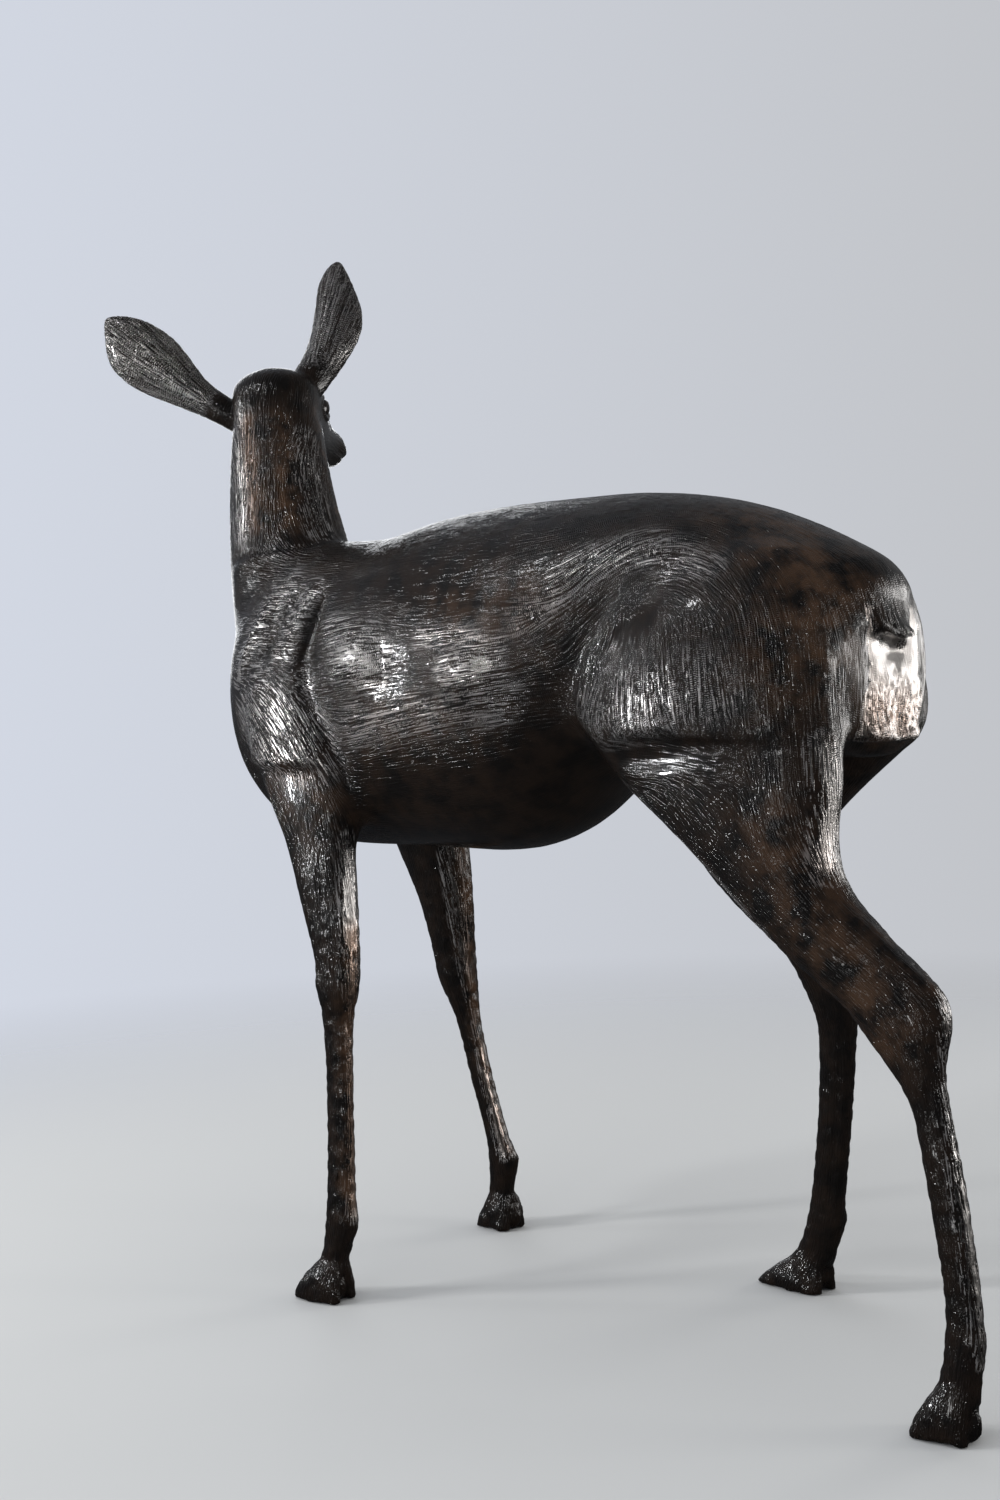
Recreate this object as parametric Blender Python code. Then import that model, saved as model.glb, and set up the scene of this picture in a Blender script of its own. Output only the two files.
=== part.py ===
"""A standing doe, one aluminium casting, nearly life size, her head turned to her right.

The doe faces -Y, her left side is +X and she stands on Z = 0. All her stations are given in parts:
the figure is 112.5 parts high from the soles to the tip of the upright ear.
"""
import math

import bmesh
import bpy
import numpy as np
from mathutils import Matrix, Vector

# Driving sizes, in metres
HEIGHT = 1.125
EAR_LENGTH = 0.175
EAR_WIDTH = 0.074
EAR_WALL = 0.005
EYE_SIZE = 0.031
TAIL_LENGTH = 0.062
HOOF_WIDTH = 0.034
CLEFT_WIDTH = 0.006
SKIN_STEP = 0.004

# The figure's own canon: its pose and proportions are shares of its height
PARTS_HIGH = 112.5
PART = HEIGHT / PARTS_HIGH
RING_SIDES = 32
TRIANGLES = 8600

HEAD_TURN = math.radians(-66)
HEAD_DIP = math.radians(3)
POLL = (-1.2, -43.4, 94.2)
TAIL_ROOT = (0.6, 32.8, 67.6)


def clear_scene():
    for thing in list(bpy.data.objects):
        bpy.data.objects.remove(thing, do_unlink=True)


def cast_metal():
    """Dark patinated aluminium."""
    metal = bpy.data.materials.new("patinated_aluminium")
    metal.use_nodes = True
    shader = metal.node_tree.nodes["Principled BSDF"]
    shader.inputs["Base Color"].default_value = (0.055, 0.040, 0.030, 1)
    shader.inputs["Metallic"].default_value = 0.85
    shader.inputs["Roughness"].default_value = 0.33
    return metal


def smooth_rows(rows, steps):
    """Fill in rows between the given ones, on a Catmull-Rom curve through them."""
    rows = np.array(rows, float)
    padded = np.vstack([2 * rows[0] - rows[1], rows, 2 * rows[-1] - rows[-2]])
    filled = []
    for a, b, c, d in zip(padded, padded[1:], padded[2:], padded[3:]):
        for t in np.arange(steps) / steps:
            filled.append(0.5 * (2 * b + (c - a) * t + (2 * a - 5 * b + 4 * c - d) * t ** 2
                                 + (3 * b - a - 3 * c + d) * t ** 3))
    return np.vstack([filled, rows[-1]])


def tube(bm, rows, square_to=None, squareness=2.0, steps=6, place=Matrix()):
    """Loft a closed limb through rows of (x, y, z, half width, reach one way, reach the other), in parts.

    Each ring lies square to the limb's own run, or to the line given. Its width lies along X, and
    the first reach points along X x run.
    """
    rows = smooth_rows(rows, steps)
    runs = np.gradient(rows[:, :3], axis=0)
    angles = np.arange(RING_SIDES) * 2 * math.pi / RING_SIDES
    lobes_x = np.sign(np.cos(angles)) * np.abs(np.cos(angles)) ** (2 / squareness)
    lobes_y = np.sign(np.sin(angles)) * np.abs(np.sin(angles)) ** (2 / squareness)
    bmesh.ops.create_circle(bm, cap_ends=True, segments=RING_SIDES, radius=1)
    bm.faces.ensure_lookup_table()
    cap = bm.faces[-1]
    for number, row in enumerate(rows):
        run = Vector(square_to or runs[number]).normalized()
        side = (Vector((1, 0, 0)) - run * run.x).normalized()
        lift = side.cross(run)
        if number:
            cap = bmesh.ops.extrude_discrete_faces(bm, faces=[cap])["faces"][0]
        for vert, lobe_x, lobe_y in zip(cap.verts, lobes_x, lobes_y):
            reach = row[4] if lobe_y > 0 else row[5]
            spot = Vector(row[:3]) + side * max(row[3], 0.05) * lobe_x + lift * max(reach, 0.05) * lobe_y
            vert.co = place @ (spot * PART)
    bmesh.ops.holes_fill(bm, edges=[edge for edge in bm.edges if edge.is_boundary])


def torso(bm):
    """Chest, barrel and rump, in upright rings from the breast to the tail."""
    # y, top, bottom, half width
    lines = [(-46.4, 65.0, 58.0, 2.6), (-45.2, 70.0, 53.0, 6.0), (-42.6, 74.0, 49.4, 8.8),
             (-38.0, 77.2, 46.4, 10.8), (-32.0, 78.1, 45.2, 11.9), (-24.0, 77.7, 45.0, 12.6),
             (-16.0, 78.9, 44.7, 13.3), (-8.0, 79.3, 44.6, 13.8), (-2.0, 79.2, 46.5, 13.8),
             (3.0, 79.0, 50.4, 13.2), (8.0, 78.8, 53.3, 12.4), (14.0, 78.0, 54.0, 11.8),
             (20.0, 76.5, 54.0, 11.2), (25.6, 74.2, 53.4, 10.4), (30.0, 71.9, 52.8, 9.0),
             (32.4, 70.6, 52.7, 7.3), (33.4, 69.0, 53.2, 5.8), (33.8, 66.4, 55.4, 4.2)]
    rows = [(0, y, (top + bottom) / 2, wide, (top - bottom) / 2, (top - bottom) / 2)
            for y, top, bottom, wide in lines]
    tube(bm, rows, square_to=(0, 1, 0), squareness=2.15)


def neck(bm):
    """The neck stands almost upright: first reach the throat, second the nape."""
    rows = [(0, -34.6, 60.0, 8.6, 10.6, 8.0), (0, -38.2, 69.0, 8.0, 9.4, 8.0),
            (0, -40.8, 76.0, 6.8, 7.6, 7.4), (-0.1, -42.0, 82.0, 5.8, 6.6, 6.6),
            (-0.3, -42.6, 88.0, 5.2, 5.9, 5.9), (-0.8, -43.0, 93.0, 4.7, 4.9, 4.9),
            (-1.0, -43.0, 96.5, 2.8, 2.8, 2.8)]
    tube(bm, rows)


def head_place():
    """The head's own frame: she looks along -Y of it, and its origin is the middle of the skull."""
    return (Matrix.Translation(Vector(POLL) * PART) @ Matrix.Rotation(HEAD_TURN, 4, "Z")
            @ Matrix.Rotation(HEAD_DIP, 4, "X"))


def head(bm):
    """Skull, face and muzzle, from the nose back: first reach the forehead, second the jaw."""
    rows = [(0, -17.3, -2.1, 1.2, 0.9, 1.0), (0, -16.8, -2.0, 2.0, 1.6, 1.7),
            (0, -15.2, -1.8, 2.6, 2.1, 2.5), (0, -12.4, -1.5, 2.6, 2.5, 3.3),
            (0, -9.6, -1.1, 3.0, 3.0, 4.6), (0, -6.8, -0.5, 3.6, 3.9, 6.0), (0, -4.0, 0.0, 4.2, 4.5, 6.5),
            (0, -1.0, 0.2, 4.5, 4.6, 6.4), (0, 2.0, 0.0, 4.4, 4.4, 5.2), (0, 4.2, -0.4, 3.3, 3.1, 3.6),
            (0, 5.3, -0.6, 1.4, 1.4, 1.6)]
    tube(bm, rows, place=head_place())
    for side in (-1, 1):
        eye = head_place() @ Matrix.Translation(Vector((side * 2.95, -5.2, 1.0)) * PART)
        bmesh.ops.create_uvsphere(bm, u_segments=20, v_segments=12, radius=EYE_SIZE / 2, matrix=eye)


def leg(bm, rows):
    """A leg in level rings from the body down: first reach the back edge, second the front."""
    tube(bm, rows, square_to=(0, 0, -1), squareness=2.1)


def legs(bm):
    """Left fore, right fore, left hind stretched out behind, right hind stepping under the body."""
    leg(bm, [(6.6, -33.0, 70.0, 3.6, 5.0, 5.0), (7.8, -31.5, 64.0, 4.6, 6.6, 7.6),
             (8.6, -30.3, 58.0, 4.8, 7.2, 8.4), (9.4, -29.0, 53.0, 4.3, 6.4, 7.6),
             (10.5, -27.5, 48.5, 3.5, 5.0, 5.6), (11.2, -26.9, 45.2, 2.85, 4.1, 4.3),
             (11.6, -25.8, 40.0, 2.4, 3.4, 3.4), (12.1, -24.6, 34.5, 2.05, 2.6, 2.6),
             (12.3, -24.4, 31.5, 2.1, 2.35, 2.35), (12.6, -24.4, 28.4, 1.5, 1.7, 1.7),
             (13.0, -24.2, 22.0, 1.25, 1.5, 1.5), (13.6, -24.1, 12.0, 1.3, 1.6, 1.6),
             (13.9, -24.2, 7.6, 1.4, 1.9, 1.8), (14.1, -24.8, 4.8, 1.35, 1.55, 1.6),
             (14.3, -25.6, 2.6, 1.5, 1.9, 2.0)])
    leg(bm, [(-6.6, -34.0, 70.0, 3.6, 5.0, 5.0), (-7.8, -33.6, 64.0, 4.6, 6.4, 7.4),
             (-8.8, -33.6, 58.0, 4.8, 7.0, 7.8), (-9.8, -33.2, 53.0, 4.3, 6.6, 7.2),
             (-10.9, -32.6, 48.0, 3.4, 5.6, 5.8), (-11.4, -32.1, 43.8, 2.9, 4.9, 5.0),
             (-11.9, -31.0, 38.0, 2.4, 3.6, 3.6), (-12.5, -30.6, 31.6, 2.1, 2.6, 2.7),
             (-12.7, -30.4, 28.6, 2.15, 2.3, 2.4), (-13.0, -29.5, 24.2, 1.35, 1.5, 1.5),
             (-13.5, -28.2, 16.9, 1.2, 1.4, 1.4), (-14.0, -26.9, 11.0, 1.2, 1.4, 1.4),
             (-14.3, -26.4, 7.8, 1.4, 1.9, 1.8), (-14.5, -26.9, 5.0, 1.3, 1.5, 1.6),
             (-14.6, -27.4, 2.6, 1.5, 1.8, 1.9)])
    leg(bm, [(5.4, 21.0, 72.0, 4.0, 7.0, 6.0), (7.6, 20.4, 67.0, 5.2, 11.0, 8.6),
             (8.5, 20.2, 62.0, 5.6, 12.6, 11.8), (8.8, 20.0, 57.6, 5.4, 12.6, 13.6),
             (8.9, 20.4, 54.4, 5.0, 12.6, 12.6), (9.2, 22.6, 50.6, 4.5, 10.2, 10.7),
             (9.7, 25.2, 46.0, 4.1, 7.0, 7.4), (10.1, 27.8, 42.2, 3.7, 5.7, 5.7),
             (10.6, 31.7, 38.5, 3.2, 5.8, 5.5), (10.9, 36.1, 35.0, 2.75, 5.4, 5.4),
             (11.1, 38.1, 33.0, 2.4, 4.6, 4.7), (11.3, 38.9, 31.0, 2.15, 3.7, 3.8),
             (11.6, 39.8, 28.5, 1.75, 2.3, 2.4), (11.8, 40.9, 25.5, 1.35, 1.65, 1.65),
             (12.2, 42.2, 19.0, 1.25, 1.65, 1.65), (12.7, 43.4, 11.0, 1.25, 1.55, 1.55),
             (13.0, 43.4, 7.3, 1.35, 1.75, 1.6), (13.1, 43.1, 5.0, 1.35, 1.75, 1.75),
             (13.2, 42.8, 2.8, 1.5, 2.0, 2.2)])
    leg(bm, [(-5.4, 20.0, 72.0, 4.0, 7.0, 6.0), (-7.6, 18.6, 67.0, 5.0, 11.2, 8.8),
             (-8.3, 17.4, 62.0, 5.4, 13.8, 11.8), (-8.6, 15.8, 57.6, 5.4, 16.2, 13.2),
             (-8.6, 14.2, 54.4, 5.2, 16.6, 12.4), (-9.0, 13.0, 50.6, 4.7, 12.6, 10.8),
             (-9.7, 12.0, 46.0, 4.1, 8.2, 7.8), (-10.2, 12.4, 42.2, 3.7, 7.0, 6.3),
             (-10.7, 14.4, 38.5, 3.2, 5.4, 5.2), (-11.1, 17.2, 35.0, 2.6, 4.9, 4.2),
             (-11.3, 18.5, 33.0, 2.3, 4.2, 3.8), (-11.5, 18.9, 31.0, 2.1, 3.3, 3.3),
             (-11.7, 19.1, 28.5, 1.75, 2.4, 2.4), (-11.9, 19.0, 25.5, 1.35, 2.0, 2.0),
             (-12.2, 18.3, 19.0, 1.3, 1.85, 1.85), (-12.6, 16.8, 10.0, 1.35, 1.8, 1.8),
             (-12.8, 16.1, 7.0, 1.45, 2.1, 2.0), (-12.9, 15.4, 5.0, 1.4, 2.1, 2.1),
             (-13.0, 14.6, 3.0, 1.5, 2.3, 2.7)])


def hoof(bm, x, y, toe, heel, height, turn=0.0):
    """Two toes side by side, pointed in front and rounded behind, on a flat sole."""
    place = Matrix.Translation((x * PART, y * PART, 0)) @ Matrix.Rotation(math.radians(turn), 4, "Z")
    half = HOOF_WIDTH / PART / 4
    for side in (-1, 1):
        middle = side * (half + CLEFT_WIDTH / PART / 2)
        rows = [(middle * 0.5, heel * 0.3, height * 1.25, half, heel * 0.45, toe * 0.5),
                (middle * 0.8, heel * 0.1, height, half * 1.02, heel * 0.85, toe * 0.55),
                (middle, 0, height * 0.5, half * 1.05, heel * 0.98, toe * 0.82),
                (middle, 0, 0.3, half * 1.1, heel, toe),
                (middle, 0, -0.8, half * 1.1, heel, toe * 1.02)]
        tube(bm, rows, square_to=(0, 0, -1), squareness=2.2, place=place, steps=4)


def hooves(bm):
    hoof(bm, 14.5, -26.2, 3.5, 3.0, 3.0, 4)
    hoof(bm, -14.7, -27.3, 3.2, 2.3, 3.0, -6)
    hoof(bm, 13.3, 41.9, 3.1, 2.3, 3.2, 3)
    hoof(bm, -13.2, 13.2, 5.2, 3.1, 2.4, -6)


def tail(bm):
    """A short broad tail lying on the rump, its tip lifted: first reach outward, second inward."""
    long = TAIL_LENGTH / PART
    x, y, z = TAIL_ROOT
    rows = [(x, y - 2.6, z + 1.4, 3.4, 0.7, 1.6), (x, y, z, 4.2, 0.7, 1.6),
            (x, y + 1.1, z - long * 0.36, 3.9, 0.7, 1.4),
            (x - 0.5, y + 1.8, z - long * 0.62, 2.8, 0.5, 0.9),
            (x - 1.4, y + 2.7, z - long * 0.76, 1.0, 0.3, 0.4)]
    tube(bm, rows)


def fuse(bm):
    """Melt the overlapping limbs into one skin."""
    mesh = bpy.data.meshes.new("limbs")
    bmesh.ops.recalc_face_normals(bm, faces=bm.faces)
    bm.to_mesh(mesh)
    bm.free()
    body = bpy.data.objects.new("limbs", mesh)
    bpy.context.scene.collection.objects.link(body)
    remesh = body.modifiers.new("skin", "REMESH")
    remesh.mode = "VOXEL"
    remesh.voxel_size = SKIN_STEP
    remesh.adaptivity = 0
    skin = bpy.data.meshes.new_from_object(body.evaluated_get(bpy.context.evaluated_depsgraph_get()))
    bpy.data.objects.remove(body, do_unlink=True)
    return skin


class Skin:
    """The fused skin as arrays, in parts, to be smoothed and carved."""

    def __init__(self, mesh):
        self.mesh = mesh
        self.spots = np.empty(len(mesh.vertices) * 3)
        mesh.vertices.foreach_get("co", self.spots)
        self.spots = self.spots.reshape(-1, 3) / PART
        edges = np.empty(len(mesh.edges) * 2, int)
        mesh.edges.foreach_get("vertices", edges)
        self.edges = edges.reshape(-1, 2)
        self.links = np.bincount(self.edges.ravel(), minlength=len(self.spots))

    def spread(self, values):
        """Each point's mean of its neighbours' values."""
        total = np.zeros_like(values)
        for column in range(values.shape[1]):
            total[:, column] = (
                np.bincount(self.edges[:, 0], values[self.edges[:, 1], column], len(values))
                + np.bincount(self.edges[:, 1], values[self.edges[:, 0], column], len(values)))
        return total / self.links[:, None]

    def melt(self, weights, rounds):
        """Smooth the skin, more where the weight is near one."""
        for _ in range(rounds):
            self.spots += (self.spread(self.spots) - self.spots) * weights[:, None] * 0.5

    def outward(self):
        self.write()
        normals = np.empty(len(self.spots) * 3)
        self.mesh.vertex_normals.foreach_get("vector", normals)
        return normals.reshape(-1, 3)

    def push(self, height):
        """Move every point out along the skin's own direction there."""
        self.spots = self.spots + self.outward() * height[:, None]

    def write(self):
        self.mesh.vertices.foreach_set("co", (self.spots * PART).ravel())
        self.mesh.update()


def blend(value, low, high):
    """0 below low, 1 above high, and a smooth rise between."""
    share = np.clip((value - low) / (high - low), 0, 1)
    return share * share * (3 - 2 * share)


def mirrored(points, back=0.0):
    """The same line on her right side, moved back or forward with that side's limb."""
    return [(-x, y + back, z) for x, y, z in points]


def along(points, spots):
    """Each spot's offset from the nearest place of a drawn line, and that place's share of the line."""
    line = smooth_rows(points, 4)
    best = np.full(len(spots), np.inf)
    offset = np.zeros_like(spots)
    share = np.zeros(len(spots))
    for number, (start, end) in enumerate(zip(line, line[1:])):
        run = end - start
        place = np.clip((spots - start) @ run / (run @ run), 0, 1)
        away = spots - start - place[:, None] * run
        reach = (away ** 2).sum(1)
        nearer = reach < best
        best[nearer] = reach[nearer]
        offset[nearer] = away[nearer]
        share[nearer] = (number + place[nearer]) / (len(line) - 1)
    return offset, share


def ends(share, fade):
    return blend(share, -0.01, fade) * (1 - blend(share, 1 - fade, 1.01))


def groove(skin, points, wide, deep, fade=0.2):
    """Press a soft furrow along a line; a negative depth raises a ridge."""
    offset, share = along(points, skin.spots)
    reach = np.sqrt((offset ** 2).sum(1))
    skin.push(-deep * np.exp(-(reach / wide) ** 2) * ends(share, fade))


def ledge(skin, points, towards, wide, high, fade=0.2):
    """Raise the skin on one side of a line and lower it on the other, with a sharp step between."""
    offset, share = along(points, skin.spots)
    reach = np.sqrt((offset ** 2).sum(1))
    side = offset @ np.array(Vector(towards).normalized()) / wide
    skin.push(high * np.tanh(side * 3) * np.exp(-(reach / wide) ** 2 * 0.6) * ends(share, fade))


def mound(skin, centre, reach, high):
    """Raise a soft hump; a negative height presses a hollow. Reach is in x, y and z."""
    away = (skin.spots - np.array(centre)) / np.array(reach)
    skin.push(high * np.exp(-(away ** 2).sum(1)))


COLLAR = [(6.8, -46.0, 76.6), (6.6, -42.0, 76.9), (5.6, -36.4, 77.4), (3.2, -32.6, 77.9), (0, -31.4, 78.0)]
SHOULDER_FURROWS = [[(8.6, -34.6, 75.0), (10.8, -33.4, 70.0), (12.2, -34.6, 63.0)],
                    [(8.4, -30.6, 75.4), (11.0, -29.8, 69.6), (12.6, -31.0, 62.6)]]
SHOULDER_BACK = [(9.4, -25.6, 74.6), (11.4, -26.4, 69.4), (12.3, -27.4, 64.4), (12.5, -26.6, 60.6),
                 (12.4, -24.6, 57.2), (11.6, -22.8, 53.4), (10.8, -22.4, 49.4)]
TRICEPS_EDGE = [(11.0, -38.4, 54.0), (13.2, -34.4, 54.2), (14.0, -28.6, 54.0), (12.9, -23.4, 53.9)]
FLANK_LINE = [(11.0, 14.6, 70.0), (12.0, 12.0, 67.6), (12.5, 9.7, 64.6), (12.6, 7.9, 61.6),
              (12.0, 6.0, 58.4), (11.2, 5.6, 55.4)]
THIGH_CREASE = [(10.8, 7.6, 55.1), (13.0, 11.4, 55.5), (13.8, 15.5, 55.7), (14.2, 21.6, 55.4),
                (13.6, 27.4, 55.0), (10.0, 31.4, 54.6)]


def carve_shoulders(skin):
    """The ledge round the foot of the neck, furrows down the shoulder and the block of the upper arm."""
    for line, side in ((COLLAR, 1), (mirrored(COLLAR), -1)):
        ledge(skin, line, (side * 0.5, 0.2, -0.9), 2.0, 0.26, 0.2)
    for line in SHOULDER_FURROWS:
        for drawn in (line, mirrored(line, -1.6)):
            groove(skin, drawn, 1.0, 0.42, 0.3)
    for drawn, side in ((SHOULDER_BACK, 1), (mirrored(SHOULDER_BACK, -1.8), -1)):
        groove(skin, drawn, 1.1, 0.55, 0.25)
        ledge(skin, drawn, (side * 0.2, -1, 0), 1.8, 0.25, 0.25)
    for drawn in (TRICEPS_EDGE, mirrored(TRICEPS_EDGE, -1.8)):
        ledge(skin, drawn, (0, 0, 1), 2.0, 0.36, 0.2)


def carve_flanks(skin):
    """Two muscle humps behind each shoulder, and the furrow where the haunch meets the flank."""
    for side in (1, -1):
        mound(skin, (side * 13.0, -20.0, 65.0), (5, 3.8, 3.8), 0.4)
        mound(skin, (side * 13.8, -4.8, 62.7), (5, 4.6, 3.6), 0.4)
        mound(skin, (side * 13.5, -12.5, 64.0), (4, 3.0, 3.6), -0.25)
    for drawn, side in ((FLANK_LINE, 1), (mirrored(FLANK_LINE, -3.0), -1)):
        ledge(skin, drawn, (0, 1, 0.15), 1.8, 0.42, 0.25)


def carve_haunches(skin):
    """The thigh overhangs a crease on the stretched left leg; tendons stand behind both hocks."""
    ledge(skin, THIGH_CREASE, (0, 0, 1), 1.8, 0.42, 0.3)
    mound(skin, (13.4, 14.6, 53.6), (4, 4.6, 1.2), -0.35)
    groove(skin, [(10.4, 6.6, 54.6), (11.6, 10.0, 51.8), (11.6, 14.6, 48.6)], 0.9, -0.30, 0.25)
    ledge(skin, [(-11.6, 4.0, 52.0), (-13.4, 9.0, 53.4), (-13.8, 15.0, 53.6), (-13.2, 21.0, 53.0)],
          (0, 0, 1), 1.7, 0.30)
    mound(skin, (13.6, 36.6, 36.2), (2.4, 1.8, 2.2), -0.45)
    mound(skin, (8.2, 36.6, 36.2), (2.4, 1.8, 2.2), -0.35)
    mound(skin, (-13.6, 17.8, 36.4), (2.4, 1.5, 2.4), -0.45)
    mound(skin, (-8.4, 17.8, 36.4), (2.4, 1.5, 2.4), -0.35)


def carve_rump(skin):
    """The patch under the tail is sunk, with a crisp rim, a fold down its middle and a ledge at its foot."""
    x, y, z = skin.spots.T
    inside = (blend(5.6 - np.abs(x), -0.4, 0.6) * blend(67.2 - z, -0.3, 0.5) * blend(z, 54.6, 56.0)
              * blend(y, 26, 30) * (1 - blend(y, 34.6, 35.4)))
    skin.push(-0.42 * inside * blend(skin.outward()[:, 1], 0.1, 0.4))
    groove(skin, [(0, 34.4, 61.6), (0, 34.4, 58.0), (0, 33.2, 54.8), (0, 29.0, 53.0)], 0.9, 0.45, 0.2)
    mound(skin, (0.2, 34.6, 62.2), (2.4, 2.0, 1.3), -0.8)
    ledge(skin, [(10.6, 28.6, 54.6), (5.6, 32.6, 54.4), (0, 34.0, 54.2), (-5.6, 32.4, 54.0),
                 (-11.4, 27.0, 53.6)], (0, 0, 1), 1.7, 0.34, 0.2)


def carve_face(skin):
    """Eye sockets, cheeks, the swelling under each ear, nostrils and mouth, in the head's own frame."""
    place = head_place()
    turned = np.array(place.to_3x3())
    heart = np.array(place.translation) / PART
    skin.spots = (skin.spots - heart) @ turned
    for side in (1, -1):
        brow = [(side * 4.4, -7.6, 0.6), (side * 4.9, -5.6, 2.9), (side * 5.0, -3.0, 2.2)]
        groove(skin, brow, 0.6, -0.30, 0.2)
        lower_lid = [(side * 4.0, -7.8, 0.4), (side * 4.6, -5.4, -0.9), (side * 4.8, -2.8, 0.4)]
        groove(skin, lower_lid, 0.6, 0.32, 0.2)
        mound(skin, (side * 4.2, -4.6, -3.4), (2.0, 3.2, 2.2), 0.30)
        mound(skin, (side * 4.0, 0.8, 2.4), (2.4, 2.8, 2.0), 0.8)
        groove(skin, [(side * 1.9, -16.6, -1.0), (side * 2.3, -15.6, -0.9)], 0.55, 0.45, 0.3)
        mouth = [(side * 1.4, -16.9, -3.0), (side * 2.5, -15.0, -2.9), (side * 2.8, -11.6, -2.5)]
        groove(skin, mouth, 0.45, 0.35, 0.3)
        mound(skin, (side * 2.6, -10.5, 1.2), (1.6, 2.6, 1.4), -0.25)
    groove(skin, [(0, -17.4, -1.2), (0, -17.3, -2.9)], 0.35, 0.3, 0.2)
    skin.spots = skin.spots @ turned.T + heart


def melt_joins(skin):
    """The limbs grow out of the body softly, while the legs, hooves, tail and face keep their drawing."""
    height = skin.spots[:, 2]
    to_tail = np.linalg.norm(skin.spots - np.array(TAIL_ROOT) - (0, 2.0, -2.6), axis=1)
    ahead = (skin.spots - np.array(POLL)) @ -np.array(head_place().col[1])[:3]
    skull = blend(height, 84, 90) * (0.55 + 0.45 * blend(ahead, -2, 2))
    body = blend(height, 40, 50) * blend(to_tail, 3.4, 5.6) * (1 - skull)
    skin.melt(0.08 + 0.92 * body, 45)


def lighten(doe):
    """Fewer facets: flat stretches lose most of theirs."""
    thin = doe.modifiers.new("lighten", "DECIMATE")
    thin.ratio = TRIANGLES / sum(len(face.vertices) - 2 for face in doe.data.polygons)
    thin.use_collapse_triangulate = True
    mesh = bpy.data.meshes.new_from_object(doe.evaluated_get(bpy.context.evaluated_depsgraph_get()))
    doe.modifiers.clear()
    doe.data = mesh


def ear(root, tip, facing, leaf):
    """One ear in the head's frame: a cupped leaf, a tube at its root, its hollow side to the front."""
    bm = bmesh.new()
    lines = smooth_rows(leaf, 2)
    across = 8
    bmesh.ops.create_grid(bm, x_segments=across, y_segments=len(lines) - 1, size=1)
    axis = (Vector(tip) - Vector(root)).normalized()
    front = Vector(facing)
    front = (front - axis * front.dot(axis)).normalized()
    wide = axis.cross(front)
    long = EAR_LENGTH / PART
    broad = EAR_WIDTH / PART / 2
    place = head_place()
    for vert in bm.verts:
        share, middle, half, cup = lines[round((vert.co.y + 1) / 2 * (len(lines) - 1))]
        angle = math.radians(cup) * vert.co.x
        radius = broad * half / math.sin(min(math.radians(cup), math.pi / 2))
        spot = (Vector(root) + axis * (long * share) + wide * (broad * middle + radius * math.sin(angle))
                + front * (radius * (1 - math.cos(angle)) - broad * half * 0.35))
        vert.co = place @ (spot * PART)
    bmesh.ops.recalc_face_normals(bm, faces=bm.faces)
    bmesh.ops.solidify(bm, geom=bm.faces[:], thickness=-EAR_WALL)
    bmesh.ops.recalc_face_normals(bm, faces=bm.faces)
    mesh = bpy.data.meshes.new("ear")
    bm.to_mesh(mesh)
    bm.free()
    guide = bpy.data.objects.new("ear_guide", mesh)
    guide.hide_render = True
    guide.display_type = "WIRE"
    bpy.context.scene.collection.objects.link(guide)
    return guide


def add_ears(doe):
    """The left ear is held out level, the right one stands up and leans forward."""
    # share of the length, middle and half width as shares of the ear's half width, half angle of the cup
    left = [(-0.16, -0.10, 0.43, 120), (0.10, 0.08, 0.48, 110), (0.26, 0.19, 0.60, 86),
            (0.44, 0.19, 0.89, 66), (0.62, 0.21, 1.04, 54), (0.80, 0.22, 0.92, 46),
            (0.93, 0.09, 0.46, 40), (1.00, 0.05, 0.10, 30)]
    right = [(-0.16, 0.50, 0.51, 120), (0.10, 0.14, 0.62, 110), (0.26, -0.15, 0.72, 86),
             (0.44, -0.35, 0.84, 66), (0.62, -0.30, 0.81, 54), (0.80, -0.07, 0.62, 46),
             (0.93, 0.03, 0.35, 40), (1.00, 0.03, 0.10, 30)]
    for guide in (ear((5.8, 1.0, 0.1), (18.6, 4.8, 11.4), (0.2, -1, 0.1), left),
                  ear((-4.0, -0.7, 2.7), (-5.1, -7.8, 18.5), (0.1, -1, 0.1), right)):
        union = doe.modifiers.new("ear", "BOOLEAN")
        union.operation = "UNION"
        union.object = guide
        union.solver = "EXACT"
    mesh = bpy.data.meshes.new_from_object(doe.evaluated_get(bpy.context.evaluated_depsgraph_get()))
    doe.modifiers.clear()
    doe.data = mesh


def cut_soles(doe):
    """The four hooves are cut off level on the ground."""
    bm = bmesh.new()
    bm.from_mesh(doe.data)
    bmesh.ops.bisect_plane(bm, geom=bm.verts[:] + bm.edges[:] + bm.faces[:], plane_co=(0, 0, 0),
                           plane_no=(0, 0, -1), clear_outer=True)
    bmesh.ops.holes_fill(bm, edges=[edge for edge in bm.edges if edge.is_boundary])
    bmesh.ops.triangulate(bm, faces=bm.faces)
    bm.to_mesh(doe.data)
    bm.free()


def centre_over_origin(doe):
    """She stands with the middle of her outline over the origin."""
    corners = np.array(doe.bound_box)
    middle = (corners.min(0) + corners.max(0)) / 2
    doe.data.transform(Matrix.Translation((-middle[0], -middle[1], 0)))


def doe_statue():
    clear_scene()
    bm = bmesh.new()
    torso(bm)
    neck(bm)
    head(bm)
    legs(bm)
    hooves(bm)
    tail(bm)
    skin = Skin(fuse(bm))
    melt_joins(skin)
    carve_shoulders(skin)
    carve_flanks(skin)
    carve_haunches(skin)
    carve_rump(skin)
    carve_face(skin)
    skin.write()
    doe = bpy.data.objects.new("doe_statue", skin.mesh)
    bpy.context.scene.collection.objects.link(doe)
    lighten(doe)
    add_ears(doe)
    cut_soles(doe)
    centre_over_origin(doe)
    doe.data.materials.clear()
    doe.data.materials.append(cast_metal())


doe_statue()
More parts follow.
